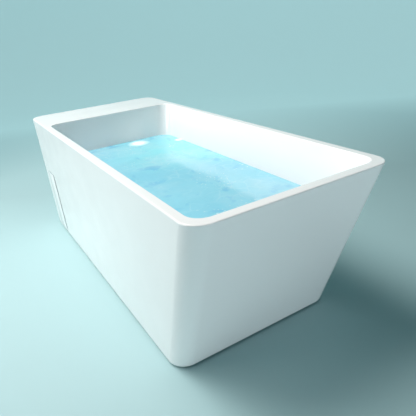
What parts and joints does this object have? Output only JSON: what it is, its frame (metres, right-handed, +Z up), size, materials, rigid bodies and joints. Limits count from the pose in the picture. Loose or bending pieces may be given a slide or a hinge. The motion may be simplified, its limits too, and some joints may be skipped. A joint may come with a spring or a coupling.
{
  "type": "freestanding bathtub",
  "caption": "Freestanding double-shell bathtub with a raked head end, flat rim, wide tap ledge, side service hatch, pop-up plug, trap and levelling feet.",
  "frame": {"origin": "on the floor, under the middle of the rim", "axes": "+X along the bath to the tap ledge, +Y to the side with the service hatch, +Z up"},
  "size_m": [1.7002, 0.7, 0.61],
  "materials": {
    "acrylic": "high gloss white sanitary acrylic",
    "board": "resin-sealed chipboard",
    "frame_steel": "galvanised and lacquered",
    "zinc": "zinc plated",
    "black_plastic": "moulded, fine grain",
    "chrome": "polished",
    "seal": "soft black rubber",
    "brass_nut": "turned",
    "pipe_white": "satin moulded polypropylene",
    "nut_grey": "satin moulded polypropylene",
    "hose_grey": "corrugated polyethylene",
    "water": "clear blue bath water"
  },
  "bodies": {
    "tub": {"basin": "acrylic", "outer_skirt": "acrylic", "base_board": "board", "rail_left": "frame_steel", "rail_right": "frame_steel", "crossbar_head": "frame_steel", "crossbar_middle": "frame_steel", "crossbar_tap": "frame_steel", "tube_end_caps": "black_plastic", "board_screws": "zinc", "frame_bolts": "zinc", "skirt_stays": "zinc", "foot_lock_nuts": "zinc", "drain_flange": "chrome", "drain_gasket": "seal", "drain_washer": "seal", "drain_nut": "brass_nut", "plug_cartridge": "pipe_white", "waste_elbow": "pipe_white", "waste_tee": "pipe_white", "trap_body": "pipe_white", "trap_insert": "nut_grey", "trap_lid": "nut_grey", "trap_lid_seal": "seal", "outlet_pipe": "pipe_white", "slip_nuts": "nut_grey", "overflow_cover": "chrome", "overflow_screw": "chrome", "overflow_front_seal": "seal", "overflow_body": "pipe_white", "overflow_rear_seal": "seal", "overflow_hose": "hose_grey", "hose_nuts": "nut_grey", "hatch_frame": "pipe_white", "hatch_pins": "zinc", "hatch_magnet": "black_plastic"},
    "plug": {"plug_cap": "chrome", "plug_seal": "seal", "plug_stem": "zinc", "plug_spring": "zinc"},
    "hatch": {"hatch_door": "acrylic", "hatch_strike": "zinc"},
    "foot_1": {"foot_stud_1": "zinc", "foot_pad_1": "black_plastic"},
    "foot_2": {"foot_stud_2": "zinc", "foot_pad_2": "black_plastic"},
    "foot_3": {"foot_stud_3": "zinc", "foot_pad_3": "black_plastic"},
    "foot_4": {"foot_stud_4": "zinc", "foot_pad_4": "black_plastic"},
    "foot_5": {"foot_stud_5": "zinc", "foot_pad_5": "black_plastic"},
    "foot_6": {"foot_stud_6": "zinc", "foot_pad_6": "black_plastic"}
  },
  "joints": [
    {"name": "plug_lift", "type": "slide", "parent": "tub", "child": "plug", "axis": [0, 0, 1], "range_m": [0, 0.012], "deforming": ["plug_spring"]},
    {"name": "hatch_hinge", "type": "hinge", "parent": "tub", "child": "hatch", "pos_m": [0.7185, 0.32875, 0.18325], "axis": [0, -0.0314, -0.9995], "range_deg": [0, 110]},
    {"name": "foot_1_level", "type": "slide", "parent": "tub", "child": "foot_1", "axis": [0, 0, -1], "range_m": [0, 0.02]},
    {"name": "foot_2_level", "type": "slide", "parent": "tub", "child": "foot_2", "axis": [0, 0, -1], "range_m": [0, 0.02]},
    {"name": "foot_3_level", "type": "slide", "parent": "tub", "child": "foot_3", "axis": [0, 0, -1], "range_m": [0, 0.02]},
    {"name": "foot_4_level", "type": "slide", "parent": "tub", "child": "foot_4", "axis": [0, 0, -1], "range_m": [0, 0.02]},
    {"name": "foot_5_level", "type": "slide", "parent": "tub", "child": "foot_5", "axis": [0, 0, -1], "range_m": [0, 0.02]},
    {"name": "foot_6_level", "type": "slide", "parent": "tub", "child": "foot_6", "axis": [0, 0, -1], "range_m": [0, 0.02]}
  ]
}
